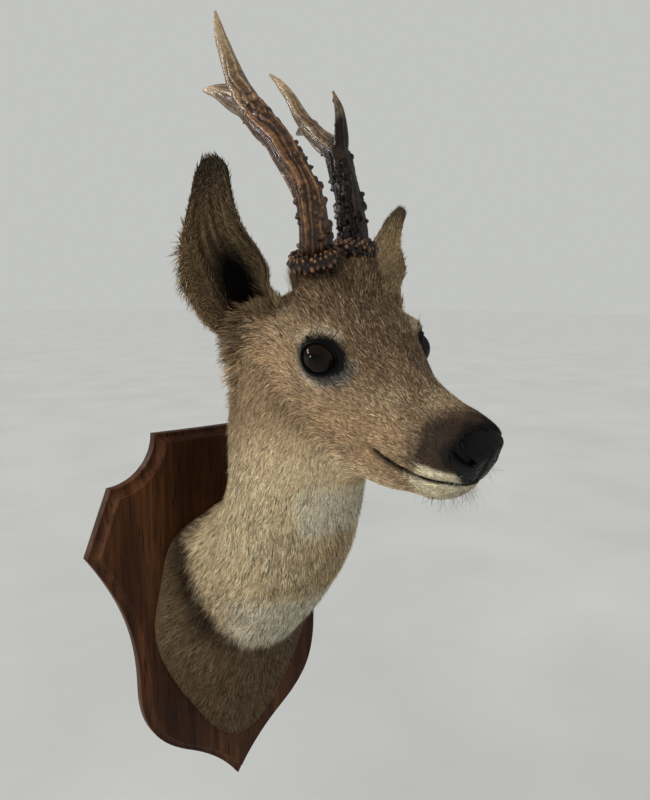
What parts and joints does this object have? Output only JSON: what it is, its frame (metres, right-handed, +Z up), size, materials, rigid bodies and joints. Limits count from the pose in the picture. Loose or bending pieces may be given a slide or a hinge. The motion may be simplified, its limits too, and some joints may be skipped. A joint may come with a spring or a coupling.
{
  "type": "roe deer shoulder mount",
  "caption": "Taxidermy shoulder mount of a roe buck with short pearled antlers, its head turned a little to its right, on a shield-shaped wooden wall board.",
  "frame": {"origin": "middle of the board's back, where it meets the wall, 200 mm above the board's lower tip", "axes": "+Z up the wall, -Y out of the wall in the way the deer looks, +X to the deer's left"},
  "size_m": [0.284, 0.3192, 0.6785],
  "materials": {
    "oak": "dark reddish-brown stained oak with vertical grain, satin varnish",
    "coat": "short grey-brown to ochre winter coat, hairs banded light and dark, matt",
    "ear_coat": "longer olive-brown hair, pale inside, dark at the rim and tip",
    "nose": "black pebbled nose skin with a damp sheen",
    "lid": "black bare skin of eye rims and lips, satin",
    "eye": "dark brown glass eye, polished",
    "antler": "dark brown pearled antler with pale pearl tips and lengthwise grooves, waxed",
    "antler_tip": "rubbed pale tan antler, smooth at the points"
  },
  "bodies": {
    "root": {"board": "oak", "shoulders": "coat", "neck": "coat", "head": "coat", "nose_pad": "nose", "eye_right": "eye", "eye_left": "eye", "ear_right": "ear_coat", "ear_left": "ear_coat", "antler_right_corona": "antler", "antler_left_corona": "antler", "antler_right_beam": "antler", "antler_left_beam": "antler", "antler_right_top": "antler_tip", "antler_left_top": "antler_tip", "antler_right_rear_tine": "antler_tip", "antler_left_front_tine": "antler_tip"}
  },
  "joints": []
}
